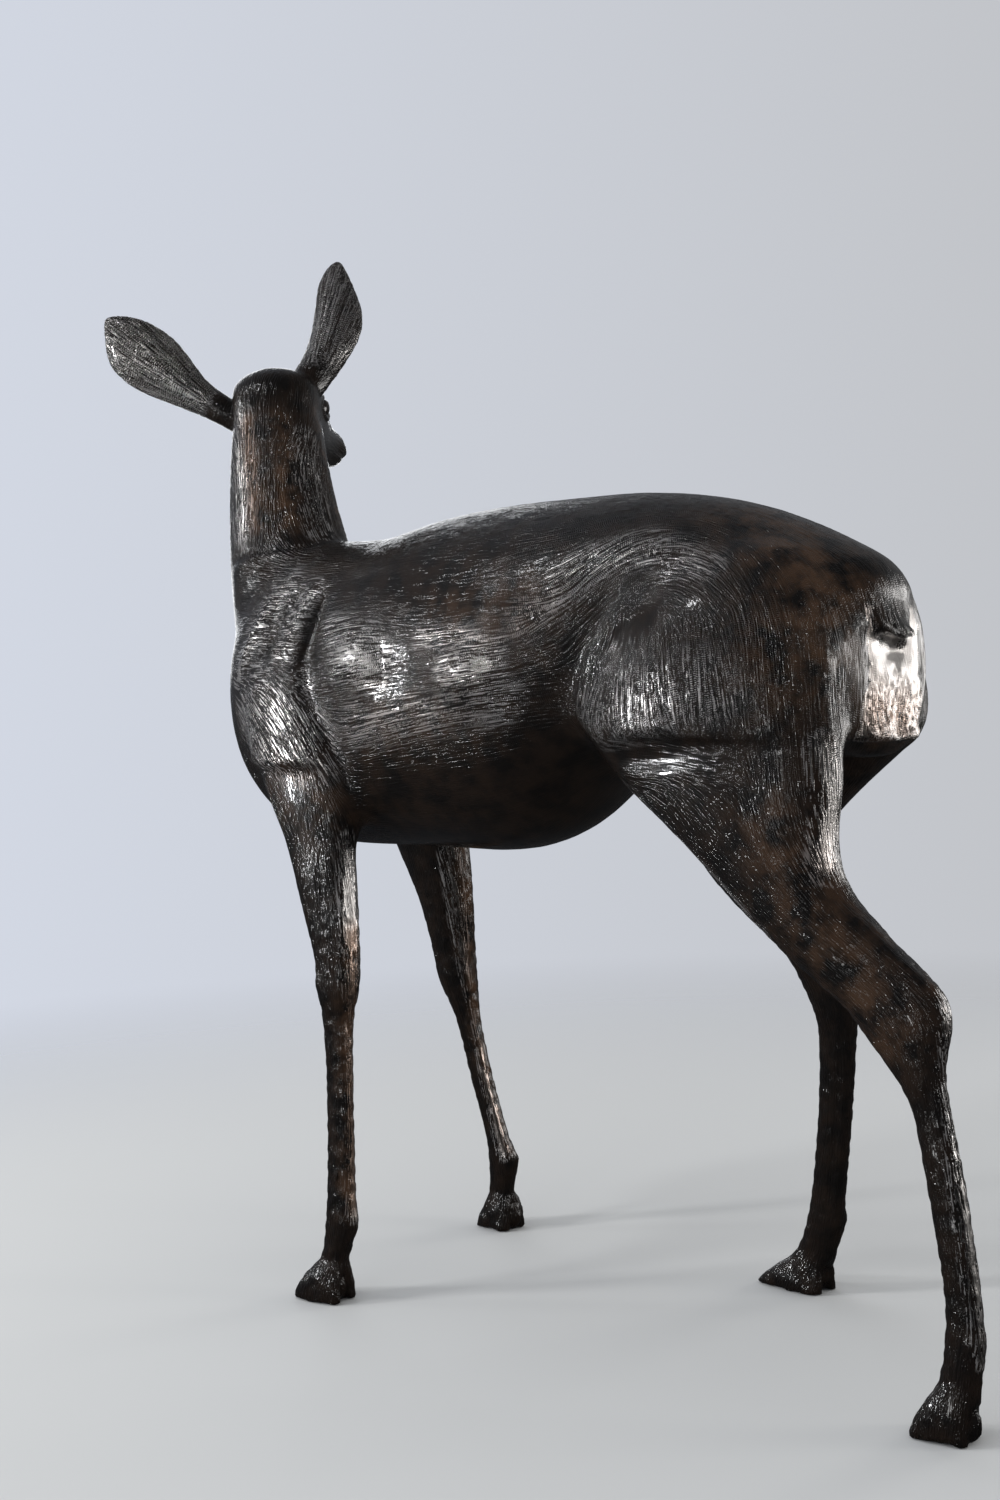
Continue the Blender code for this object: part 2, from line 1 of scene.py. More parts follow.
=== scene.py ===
"""Looks of the aluminium doe statue: her fur, patina and lacquer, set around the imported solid.
Lengths are metres in the solid's frame: the doe faces -Y, her left is +X, +Z is up."""

import math

import bmesh
import bpy
import numpy as np
from mathutils import Matrix, Vector


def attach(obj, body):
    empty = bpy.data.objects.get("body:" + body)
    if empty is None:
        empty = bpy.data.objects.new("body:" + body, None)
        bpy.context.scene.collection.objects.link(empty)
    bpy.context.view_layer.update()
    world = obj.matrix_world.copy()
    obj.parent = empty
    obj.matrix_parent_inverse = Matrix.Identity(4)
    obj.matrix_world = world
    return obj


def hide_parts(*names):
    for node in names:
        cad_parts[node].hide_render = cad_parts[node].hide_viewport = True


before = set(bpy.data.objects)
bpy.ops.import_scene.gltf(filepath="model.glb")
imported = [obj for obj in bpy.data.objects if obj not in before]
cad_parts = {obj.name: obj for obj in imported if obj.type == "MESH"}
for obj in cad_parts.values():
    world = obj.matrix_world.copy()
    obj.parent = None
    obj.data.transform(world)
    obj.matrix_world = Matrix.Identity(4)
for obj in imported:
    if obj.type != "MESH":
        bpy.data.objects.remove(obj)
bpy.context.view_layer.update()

# The doe's skin: one hollow aluminium casting, so body, head, ears, tail, legs and hooves are one piece.
# It takes the form of the solid, is made dense enough to carve, and is rounded where the solid has facets.

FINE_GRAIN = 0.0014
GRAIN = FINE_GRAIN
SMOOTHING_ROUNDS = 12
CORNER_GAP = 0.00002
WEB_REACH = (0.010, 0.023, 0.018)
WEB_PLACES = [(0.1486, -0.1875, 0.015), (-0.1434, -0.1980, 0.015),
              (0.1366, 0.4960, 0.015), (-0.1284, 0.2070, 0.015)]


def apply_modifiers(piece):
    """Makes the modifiers part of the piece's own mesh."""
    graph = bpy.context.evaluated_depsgraph_get()
    made = bpy.data.meshes.new_from_object(piece.evaluated_get(graph))
    old = piece.data
    piece.modifiers.clear()
    piece.data = made
    bpy.data.meshes.remove(old)


def read_points(mesh):
    """The mesh's points as an array, in metres."""
    found = np.empty(len(mesh.vertices) * 3, np.float32)
    mesh.vertices.foreach_get("co", found)
    return found.reshape(-1, 3).astype(float)


def read_facing(mesh):
    """The outward direction at each point of the mesh."""
    found = np.empty(len(mesh.vertices) * 3, np.float32)
    mesh.vertex_normals.foreach_get("vector", found)
    return found.reshape(-1, 3).astype(float)


def move_points(mesh, points):
    """Puts the mesh's points at new places."""
    mesh.vertices.foreach_set("co", points.astype(np.float32).ravel())
    mesh.update()


def keep_attribute(mesh, name, values):
    """Writes one number, or one vector, for each point of the mesh."""
    kind, field = ("FLOAT", "value") if values.ndim == 1 else ("FLOAT_VECTOR", "vector")
    layer = mesh.attributes.get(name) or mesh.attributes.new(name, kind, "POINT")
    layer.data.foreach_set(field, values.astype(np.float32).ravel())


solid = bmesh.new()
solid.from_mesh(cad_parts["doe_statue"].data)
bmesh.ops.remove_doubles(solid, verts=solid.verts, dist=CORNER_GAP)
for place in WEB_PLACES:
    web = Matrix.Translation(place) @ Matrix.Diagonal((*WEB_REACH, 1))
    bmesh.ops.create_icosphere(solid, subdivisions=3, radius=1, matrix=web)
skin = bpy.data.meshes.new("doe_skin")
solid.to_mesh(skin)
solid.free()
doe = bpy.data.objects.new("doe_skin", skin)
bpy.context.scene.collection.objects.link(doe)

rounding = doe.modifiers.new("rounding", "SUBSURF")
rounding.levels = 1
rounding.render_levels = 1
even = doe.modifiers.new("even", "REMESH")
even.mode = "VOXEL"
even.voxel_size = GRAIN
soften = doe.modifiers.new("soften", "SMOOTH")
soften.factor = 0.5
soften.iterations = round(SMOOTHING_ROUNDS * (FINE_GRAIN / GRAIN) ** 2)
apply_modifiers(doe)

# Her carving: the muscles, furrows and edges that were modelled in clay before the casting, sharper than
# the solid has them. All is drawn in hundredths of a metre from the middle of the trunk on the ground.
# These are called canon parts here, and her head has a frame of its own, in which she looks along -Y.

CANON = 0.01
CANON_ORIGIN = np.array([0.356, 7.065, 0.0])
POLL = (-1.2, -43.4, 94.2)
HEAD_TURN = math.radians(-66)
HEAD_DIP = math.radians(3)
TURN = np.array(Matrix.Rotation(HEAD_TURN, 3, "Z") @ Matrix.Rotation(HEAD_DIP, 3, "X"))


def blend(value, low, high):
    """From 0 below low to 1 above high, softly."""
    share = np.clip((value - low) / (high - low), 0, 1)
    return share * share * (3 - 2 * share)


def to_head(spots):
    """Canon places in the head's own frame: she looks along its -Y."""
    return (spots - np.array(POLL)) @ TURN


def along(path, spots):
    """The offset from the nearest point of a path, and how far along it that point lies, from 0 to 1."""
    path = np.array(path, float)
    best = np.full(len(spots), 1e9)
    offset = np.zeros((len(spots), 3))
    share = np.zeros(len(spots))
    for number, (start, end) in enumerate(zip(path, path[1:])):
        run = end - start
        place = np.clip((spots - start) @ run / (run @ run), 0, 1)
        away = spots - start - place[:, None] * run
        reach = (away ** 2).sum(1)
        nearer = reach < best
        best[nearer] = reach[nearer]
        offset[nearer] = away[nearer]
        share[nearer] = (number + place[nearer]) / (len(path) - 1)
    return offset, share


def near_path(path, spots, reach):
    """From 1 on a path to 0 well past its reach."""
    offset, share = along(path, spots)
    return np.exp(-(offset ** 2).sum(1) / reach ** 2)


def groove(spots, path, wide, deep, fade=0.2):
    """A soft furrow along a path; a negative depth raises a ridge."""
    offset, share = along(path, spots)
    taper = blend(share, -0.01, fade) * (1 - blend(share, 1 - fade, 1.01))
    return -deep * np.exp(-(offset ** 2).sum(1) / wide ** 2) * taper


def ledge(spots, path, towards, wide, high, fade=0.2):
    """Raised on one side of a path and lowered on the other, with a sharp step between."""
    offset, share = along(path, spots)
    taper = blend(share, -0.01, fade) * (1 - blend(share, 1 - fade, 1.01))
    side = offset @ (np.array(towards, float) / np.linalg.norm(towards)) / wide
    return high * np.tanh(side * 4) * np.exp(-(offset ** 2).sum(1) / wide ** 2 * 0.6) * taper


def mound(spots, centre, reach, high):
    """A soft hump; a negative height presses a hollow."""
    away = (spots - np.array(centre, float)) / np.array(reach, float)
    return high * np.exp(-(away ** 2).sum(1))


def mirrored(path, shift=0.0):
    """The same path on her right side, moved by some canon parts along her length."""
    return [(-x, y + shift, z) for x, y, z in path]


def on_side(side, path, shift=0.0):
    """The path itself on her left side, which is side 1, and mirrored and moved on her right, side -1."""
    return path if side > 0 else mirrored(path, shift)


COLLAR = [(6.8, -46.0, 76.6), (6.6, -42.0, 76.9), (5.6, -36.4, 77.4), (3.2, -32.6, 77.9), (0, -31.4, 78.0)]
SHOULDER_BANDS = [[(8.6, -32.5, 74.0), (9.4, -35.0, 71.0), (10.2, -37.0, 67.4), (9.9, -40.0, 63.4)],
                  [(8.4, -28.0, 74.2), (10.6, -28.6, 70.0), (11.3, -29.8, 66.9), (11.8, -31.4, 65.0)]]
SHOULDER_FURROWS = [[(8.6, -29.9, 74.0), (10.0, -31.2, 70.2), (10.8, -32.8, 67.6), (11.0, -34.6, 65.6)],
                    [(9.2, -26.0, 73.4), (11.0, -26.5, 69.0), (11.6, -27.6, 66.3), (12.0, -28.2, 64.0)]]
BLADE_RIDGE = [(10.2, -30.0, 72.0), (11.0, -29.8, 69.6), (12.6, -31.0, 62.6)]
BLADE_EDGE = [(9.4, -25.6, 74.6), (11.4, -26.8, 69.4), (12.3, -27.8, 64.8), (12.5, -27.0, 61.0),
              (12.4, -24.6, 57.2), (11.6, -22.8, 53.4), (10.8, -22.4, 49.4)]
TRICEPS_EDGE = [(11.0, -38.4, 54.0), (13.2, -34.4, 54.2), (14.0, -28.6, 54.0), (12.9, -23.4, 53.9)]
FLANK_LINE = [(11.0, 14.6, 70.0), (12.0, 12.0, 67.6), (12.5, 9.7, 64.6), (12.6, 7.9, 61.6),
              (12.0, 6.0, 58.4), (11.2, 5.6, 55.4)]
THIGH_CREASE = [(10.8, 7.6, 55.1), (13.0, 11.4, 55.5), (13.8, 15.5, 55.7), (14.2, 21.6, 55.4),
                (13.6, 27.4, 55.0), (10.0, 31.4, 54.6)]
THIGH_FOLD = [(10.6, 8.0, 54.2), (13.2, 13.0, 52.6), (14.0, 20.0, 52.6), (13.8, 26.0, 53.8)]
THIGH_RIDGE = [(10.4, 6.6, 54.6), (11.6, 10.0, 51.8), (11.8, 14.6, 48.4), (11.8, 20.6, 43.4)]
RIB_ARC = [(13.6, -8.6, 63.6), (13.4, -5.0, 66.0), (13.4, -0.6, 64.4)]
RIGHT_SIDE_SHARE = 0.5
RIGHT_SHOULDER_SHIFT = -1.6
RIGHT_BLADE_SHIFT = -1.8
RIGHT_FLANK_SHIFT = -3.0


def carve_trunk(spots):
    """The shoulders, flanks and haunches: how far each place is raised, in canon parts."""
    lift = np.zeros(len(spots))
    for side, share in ((1, 1.0), (-1, RIGHT_SIDE_SHARE)):
        here = np.zeros(len(spots))
        for path in SHOULDER_BANDS:
            here += groove(spots, on_side(side, path, RIGHT_SHOULDER_SHIFT), 1.0, -0.35, 0.25)
        for path in SHOULDER_FURROWS:
            here += groove(spots, on_side(side, path, RIGHT_SHOULDER_SHIFT), 0.5, 0.28, 0.25)
        here += groove(spots, on_side(side, BLADE_RIDGE, RIGHT_SHOULDER_SHIFT), 1.0, -0.30, 0.25)
        here += groove(spots, on_side(side, BLADE_EDGE, RIGHT_BLADE_SHIFT), 0.6, 0.30, 0.25)
        triceps = on_side(side, TRICEPS_EDGE, RIGHT_BLADE_SHIFT)
        here += ledge(spots, triceps, (0, 0, 1), 0.9, 0.09, 0.35)
        here += ledge(spots, on_side(side, COLLAR), (side * 0.5, 0.2, -0.9), 1.0, 0.13)
        here += mound(spots, (side * 13.0, -19.3, 65.0), (5, 2.6, 2.4), 0.60)
        here += mound(spots, (side * 13.6, -15.6, 64.0), (5, 1.2, 1.7), -0.45)
        here += mound(spots, (side * 13.8, -4.2, 62.6), (5, 3.0, 2.2), 0.55)
        here += groove(spots, on_side(side, RIB_ARC), 0.6, 0.18)
        here += ledge(spots, on_side(side, FLANK_LINE, RIGHT_FLANK_SHIFT), (0, 1, 0.15), 1.4, 0.10)
        here += mound(spots, (side * 12.3, 14.6, 65.2), (5, 4.2, 3.0), -0.28)
        lift += share * here
    lift += mound(spots, (13.8, -26.6, 46.6), (4, 3.6, 3.6), -0.4)
    lift += ledge(spots, THIGH_CREASE, (0, 0, 1), 1.0, 0.17, 0.4)
    lift += mound(spots, (13.4, 14.6, 53.8), (4, 4.6, 0.8), -0.18)
    lift += groove(spots, THIGH_FOLD, 0.5, -0.14, 0.3)
    lift += groove(spots, THIGH_RIDGE, 0.6, -0.30, 0.25)
    return lift


PATCH_EDGE = [(4.7, 33.2, 66.4), (4.6, 33.2, 63.0), (4.8, 33.2, 59.6), (5.0, 32.9, 57.4),
              (5.0, 32.6, 55.4)]
PATCH_FOOT = [(6.4, 31.4, 54.6), (3.2, 33.2, 54.4), (0, 33.6, 54.3), (-3.6, 33.2, 54.4),
              (-6.4, 31.4, 54.6)]
PATCH_FOLD = [(-0.2, 33.4, 60.0), (-0.1, 33.4, 57.0), (0.3, 33.4, 54.2)]
PATCH_LUMPS = [(3.6, 33.3, 58.2), (2.2, 33.4, 57.0), (4.4, 33.0, 55.6), (-1.2, 33.4, 56.2),
               (1.6, 33.3, 59.6), (-2.2, 33.4, 58.6), (3.4, 33.2, 61.0), (-0.8, 33.4, 60.4),
               (-3.2, 33.2, 57.0), (2.9, 33.3, 55.6)]
TAIL_STRIPES = (3.4, 2.3, 1.2, 0.1, -1.0)


def crumpled(spots, size):
    """An even roughness of about -1 to 1 with lumps of that size, the same each time."""
    total = np.zeros(len(spots))
    for number in range(12):
        angle = 2.4 * number
        tilt = math.sin(1.7 * number + 0.4)
        way = np.array([math.cos(angle), math.sin(angle) * math.cos(tilt), math.sin(tilt + 0.9 * number)])
        total += np.sin(spots @ way * (2 * math.pi / size) * (0.7 + 0.06 * number) + 1.9 * number)
    return np.tanh(total / 2.4)


def carve_rump(spots):
    """The hood over the tail, the rough patch under it and its edges."""
    x, y, z = spots.T
    near = blend(y, 30, 32)
    lift = ledge(spots, PATCH_EDGE, (1, 0.2, 0), 0.7, 0.07, 0.1)
    lift += ledge(spots, mirrored(PATCH_EDGE), (-1, 0.2, 0), 0.9, 0.05, 0.1)
    lift += ledge(spots, PATCH_FOOT, (0, 0, 1), 0.7, 0.22, 0.1)
    lift += mound(spots, (2.4, 33.4, 63.0), (1.7, 3, 0.8), -0.6)
    lift += mound(spots, (-0.6, 33.4, 62.2), (1.6, 3, 0.7), -0.4)
    lift += mound(spots, (-1.2, 35.4, 63.8), (1.6, 1.2, 0.35), 0.25)
    on_patch = blend(5.2 - np.abs(x), -0.2, 0.6) * blend(63 - z, 0, 1) * blend(z, 54.4, 55.2)
    rough = 1 - 0.7 * blend(z, 59, 61)
    lift += on_patch * rough * (0.07 * crumpled(spots, 1.9) + 0.05 * crumpled(spots[:, ::-1] + 3, 0.8))
    for centre in PATCH_LUMPS:
        lift += mound(spots, centre, (0.45, 2, 0.5), 0.13)
    lift += groove(spots, PATCH_FOLD, 0.3, 0.16, 0.2)
    for start in TAIL_STRIPES:
        lift += groove(spots, [(start, 34.0, 66.3), (start - 0.5, 34.9, 64.4)], 0.22, 0.16, 0.3)
    return lift * near


# Each line of a leg is a path, its reach and its depth, which is negative where the line is a ridge.
LEG_LINES = [
    ([(12.2, -23.2, 45), (13.2, -22.8, 37), (13.8, -22.9, 31.6), (13.4, -23.2, 22), (14.4, -22.8, 10)],
     0.38, -0.20),
    ([(13.6, -24.9, 45), (14.3, -24.6, 37), (14.6, -24.4, 31), (14.2, -24.4, 22), (14.9, -24.4, 11)],
     0.40, 0.16),
    ([(-9.6, -28.2, 43), (-10.8, -28.0, 34), (-11.6, -28.2, 29), (-12.5, -27.2, 18), (-13.3, -25.4, 9)],
     0.38, -0.20),
    ([(-9.2, -29.6, 43), (-10.4, -29.4, 34), (-11.7, -29.6, 27), (-12.4, -28.4, 18), (-13.0, -26.8, 9)],
     0.36, 0.14),
    ([(12.9, 41.0, 29), (13.2, 42.2, 20), (13.9, 43.6, 10)], 0.36, 0.12),
    ([(-10.4, 20.6, 28), (-10.9, 19.0, 18), (-11.3, 17.4, 9)], 0.36, 0.18),
    ([(11.2, 34.0, 43), (11.9, 38.4, 37.4), (11.6, 42.6, 33.6)], 0.8, -0.22),
    ([(12.9, 31.6, 41.6), (13.3, 36.6, 36.6), (12.6, 40.8, 33.4)], 0.9, 0.30),
    ([(-12.4, 20.0, 42), (-12.6, 21.6, 36.6), (-12.4, 21.6, 33)], 0.8, 0.22),
]
KNEES = [(13.9, -25.8, 31.8), (12.6, -26.8, 31.6), (-12.6, -32.2, 28.8)]
FETLOCKS = [(14.6, -23.0, 7.8), (13.2, -22.6, 7.8), (-13.6, -25.0, 8.0), (-15.0, -25.0, 8.0),
            (13.8, 44.8, 7.6), (12.4, 45.0, 7.6), (-12.2, 18.0, 7.4), (-13.6, 18.0, 7.4)]
JOINT_REACH = (0.9, 0.9, 1.2)
CORONET_HEIGHT = 4.2


def carve_legs(spots):
    """Tendons, the edges of the rear strips, knees, fetlocks and the coronets above the hooves."""
    height = spots[:, 2]
    lift = np.zeros(len(spots))
    for path, wide, deep in LEG_LINES:
        lift += groove(spots, path, wide, deep, 0.15)
    for centre in KNEES:
        lift += mound(spots, centre, JOINT_REACH, 0.16)
    for centre in FETLOCKS:
        lift += mound(spots, centre, JOINT_REACH, 0.18)
    lift -= 0.07 * np.exp(-((height - CORONET_HEIGHT) / 0.4) ** 2)
    lift += 0.035 * crumpled(spots, 1.6) * (1 - blend(height, 38, 46))
    return lift


EYE = (2.95, -5.2, 1.0)
TEAR_LINE = [(3.9, -7.0, 0.4), (3.4, -8.2, -0.2), (3.1, -9.6, -0.7)]
MOUTH = [(0.6, -17.2, -3.0), (1.8, -16.4, -3.1), (2.6, -14.6, -2.9), (2.8, -11.8, -2.5)]
LIP_SPLIT = [(0, -17.4, -1.4), (0, -17.3, -2.9)]


def carve_face(spots):
    """Eyelids, nostrils and the line of the mouth."""
    head = to_head(spots)
    x, y, z = head.T
    near = 1 - blend(np.linalg.norm(head - (0, -6, -1), axis=1), 13, 15)
    lift = np.zeros(len(spots))
    side_face = blend(np.abs(x), 2.6, 3.4)
    ring = np.sqrt(((y - EYE[1]) * 0.86) ** 2 + ((z - EYE[2]) * 1.2) ** 2)
    lift += side_face * 0.20 * np.exp(-((ring - 1.62) / 0.30) ** 2)
    lift -= side_face * 0.22 * np.exp(-((ring - 1.20) / 0.16) ** 2)
    for side in (1, -1):
        lift += groove(head, on_side(side, TEAR_LINE), 0.3, 0.22, 0.3)
        lift += mound(head, (side * 2.0, -16.4, -1.2), (0.6, 0.8, 0.45), -0.55)
        lift += groove(head, on_side(side, MOUTH), 0.28, 0.35, 0.2)
        lift += mound(head, (side * 1.3, -16.6, -2.2), (0.8, 1.0, 0.5), 0.15)
    lift += groove(head, LIP_SPLIT, 0.22, 0.2, 0.2)
    return lift * near


def carve(spots):
    """How far each place is raised by the modelling in clay, in canon parts."""
    return carve_trunk(spots) + carve_rump(spots) + carve_legs(spots) + carve_face(spots)


spots = read_points(doe.data) / CANON - CANON_ORIGIN
facing = read_facing(doe.data)
spots += facing * carve(spots)[:, None]
spots[:, 2] = np.maximum(spots[:, 2], 0)
move_points(doe.data, (spots + CANON_ORIGIN) * CANON)

# Her coat: long shallow strokes combed into the clay before the casting, lying back and down the body.
# Each path is one pass of the comb. The trunk's passes over her left side are mirrored to her right.

COMB_TRUNK = [
    [(4, -42, 93), (4.8, -42, 86), (6, -42, 79)],
    [(6, -48, 76), (8, -47, 68), (8.5, -46, 60), (8.5, -43, 54)],
    [(5, -44, 74.5), (8, -36, 74), (9.5, -27, 73.5)],
    [(9, -43, 69), (11, -36, 69), (11.4, -28, 68.5)],
    [(10.5, -42, 63.5), (12, -35, 64), (12.5, -29, 64)],
    [(9.5, -42, 62.5), (12, -38, 59), (13.2, -34, 55)],
    [(11.5, -37, 62.5), (13, -32, 58.5), (13.8, -28.5, 54.6)],
    [(12.2, -31, 63), (12.8, -27.5, 58.5), (13, -24.5, 54.6)],
    [(3, -29, 78), (4, -15, 79.5), (4, 0, 80), (4, 14, 79), (3, 24, 77), (2, 30, 73), (1, 33, 69)],
    [(8, -24, 75), (9.5, -10, 75.5), (9.5, 4, 75)],
    [(12, -24, 69), (12.6, -18, 69.5), (12.8, -10, 68), (12.6, 0, 68.5), (12.2, 6, 68)],
    [(12.3, -26, 62), (13.5, -16, 63), (13.8, -5, 63.4), (13, 4, 64)],
    [(11.8, -22, 56), (13.4, -12, 57.5), (14, -2, 58.5), (12.6, 4, 58.6)],
    [(11, -20, 51), (12.4, -8, 52), (12, 2, 53), (10.6, 6, 54)],
    [(4, -20, 47), (5, -6, 44.6), (4, 4, 46)],
    [(12.4, 4, 66), (11.8, 8, 69), (10.4, 12, 72.5), (9.6, 17, 74.2), (10, 22, 73.2), (11.4, 26, 70),
     (12.4, 28, 66)],
    [(12.6, 8, 64), (12.4, 11, 67.5), (11.6, 15.5, 70), (12, 20, 69.5), (12.8, 23.5, 67)],
    [(9, 0, 73), (8, 8, 76), (7, 16, 77.4), (8, 23, 76), (9.6, 29, 72), (9.6, 33, 67)],
    [(12.4, 12.5, 66.5), (12.8, 9.5, 61.5), (12.2, 7.5, 57.5)],
    [(13.6, 15.5, 65), (14, 15.5, 57)],
    [(13.8, 21.5, 65), (14.2, 22, 57)],
    [(13, 27.5, 65), (13.4, 28, 57)],
    [(9.6, 32, 66), (9.6, 32, 57)],
    [(2, 24, 78), (3, 30, 74.5), (3, 33.5, 69.5)],
    [(6, 25, 76.5), (7, 31, 72), (7, 33.5, 67.5)],
    [(3, 35, 65), (3, 34.8, 58), (2, 33, 54)],
]
COMB_MIDDLE = [
    [(-1, -38.5, 96), (0, -36.5, 90), (0, -34, 83), (0, -31.5, 79)],
    [(-1, -49, 88), (0, -50, 80), (0, -50, 72), (0, -49, 64), (0, -46, 57)],
]
COMB_LEGS = [
    [(11, 9, 53.5), (13.2, 16, 53.4), (13.8, 24, 53)],
    [(11, 8.5, 52.4), (12, 13, 48.6), (12.6, 19, 44), (12, 26, 38.6), (11.6, 32, 34.6), (11.8, 37, 30.6)],
    [(13.4, 20, 50.5), (13.6, 24, 46), (13.4, 30, 40.6), (13, 36, 36)],
    [(10.6, 32, 54), (10.4, 31.6, 48.6), (10.6, 33, 44), (10.8, 38, 39.4), (11, 43, 36)],
    [(12.6, 27.5, 53), (12.8, 27.6, 48), (12.6, 31, 43)],
    [(11.4, 39.6, 31), (12, 41.6, 22), (12.8, 43.4, 11), (13.2, 42.4, 3)],
    [(12.4, -27, 53), (12, -26, 44), (12.2, -24.6, 34), (13, -24.2, 22), (13.8, -24.2, 9),
     (14.3, -25.6, 2.6)],
    [(-11, -33, 53), (-11.6, -32, 44), (-12.4, -30.6, 32), (-13.4, -28.4, 18), (-14.2, -26.4, 8),
     (-14.6, -27.2, 2.6)],
    [(-12, 16, 56), (-12.4, 12.6, 47), (-12.2, 14.6, 38.5), (-12.2, 18.4, 31), (-12.2, 18.3, 19),
     (-12.8, 16.2, 7), (-13, 14.6, 3)],
    [(-9, 30, 60), (-9.6, 28, 52), (-10.6, 22, 44), (-11, 20.6, 36)],
]
COMB_HEAD = [
    [(0, -16, 0.5), (0, -10, 2.6), (0, -5, 4.3), (0, 0, 5), (0, 4, 3)],
    [(2.8, -15, -1.5), (3.8, -9, -1), (4.4, -4, -2), (4.6, 1, -3), (4.2, 4, -5)],
    [(-2.8, -15, -1.5), (-3.8, -9, -1), (-4.4, -4, -2), (-4.6, 1, -3), (-4.2, 4, -5)],
    [(0, -14, -4), (0, -8, -5.4), (0, -2, -7)],
]
COMB_REACH = 16.0
EARS = [((5.8, 1.0, 0.1), (18.6, 4.8, 11.4)), ((-4.0, -0.7, 2.7), (-5.1, -7.8, 18.5))]


def on_ear(spots, root, tip):
    """The way from the root of an ear to each place, in her head's frame, and how surely it is ear."""
    axis = np.array(tip) - np.array(root)
    away = to_head(spots) - np.array(root)
    share = away @ axis / (axis @ axis)
    aside = np.linalg.norm(away - share[:, None] * axis, axis=1)
    surely = blend(share, 0.06, 0.22) * (1 - blend(aside, 4.6, 5.4))
    return away + axis * 0.25, surely


def fur_lie(spots, facing):
    """The way that the fur lies at each place, along the surface, and as long as its strokes are there."""
    total = np.zeros_like(spots)
    paths = COMB_TRUNK + [mirrored(path) for path in COMB_TRUNK] + COMB_MIDDLE + COMB_LEGS
    paths += [[np.array(spot) @ TURN.T + np.array(POLL) for spot in path] for path in COMB_HEAD]
    for path in paths:
        for start, end in zip(np.array(path, float), np.array(path, float)[1:]):
            run = end - start
            close = np.abs(spots - (start + end) / 2).max(1) < COMB_REACH + np.linalg.norm(run) / 2
            part = spots[close] - start
            place = np.clip(part @ run / (run @ run), 0, 1)
            reach = ((part - place[:, None] * run) ** 2).sum(1)
            total[close] += (1 / (reach + 3.0) ** 2)[:, None] * (run / np.linalg.norm(run))
    total /= np.maximum(np.linalg.norm(total, axis=1), 1e-9)[:, None]
    length = 0.8 + 0.5 * blend(spots[:, 2], 50, 54) * blend(spots[:, 1], -26, -22)
    for root, tip in EARS:
        way, surely = on_ear(spots, root, tip)
        way = way / np.linalg.norm(way, axis=1)[:, None] @ TURN.T
        total = total * (1 - surely)[:, None] + way * surely[:, None]
        length += (1.8 - length) * surely
    total -= (total * facing).sum(1)[:, None] * facing
    return total / np.maximum(np.linalg.norm(total, axis=1), 1e-9)[:, None] * length[:, None]


# Where the comb bit deep on both sides: a path, its reach and the bite.
DEEP_FUR = [
    ([(9, -37, 75), (10, -36, 71), (12, -33, 64)], 4.2, 1.15),
    ([(12, -36, 60), (13, -30, 57)], 4.6, 1.1),
    ([(13, -20, 66), (13.5, -12, 59), (13.5, -4, 58)], 4.2, 0.75),
    ([(12.6, 3, 67), (11.6, 7, 70.5), (10.6, 13, 73), (10.8, 20, 72.6)], 3.4, 1.1),
    ([(13.5, 11, 59), (14, 18, 60), (13.4, 26, 60)], 5.0, 1.15),
    ([(9.4, 32, 65), (9.8, 32, 57)], 2.2, 1.0),
    ([(12.8, 9.8, 65), (12.6, 8.6, 61), (12.2, 7, 57)], 2.2, 1.3),
    ([(11.4, 10, 51.4), (12, 18, 45), (11.8, 26, 39)], 2.0, 1.1),
]
RIB_BUMPS = [(13.2, -19.1, 64.7), (14.1, -3.9, 62.3)]
# The smooth rear strips of the legs, each a path and its reach.
REAR_STRIPS = [
    ([(11.6, -22.4, 45), (12.4, -22.2, 36.0)], 0.9),
    ([(12.6, -22.2, 31), (12.4, -22.4, 22), (13.6, -22.4, 9)], 0.7),
    ([(-9.4, -28.0, 43), (-10.6, -27.8, 34), (-12.5, -26.9, 18), (-13.2, -25.4, 9)], 0.8),
    ([(12.0, 43.6, 30), (12.6, 43.8, 20), (13.2, 45.2, 8)], 0.8),
]


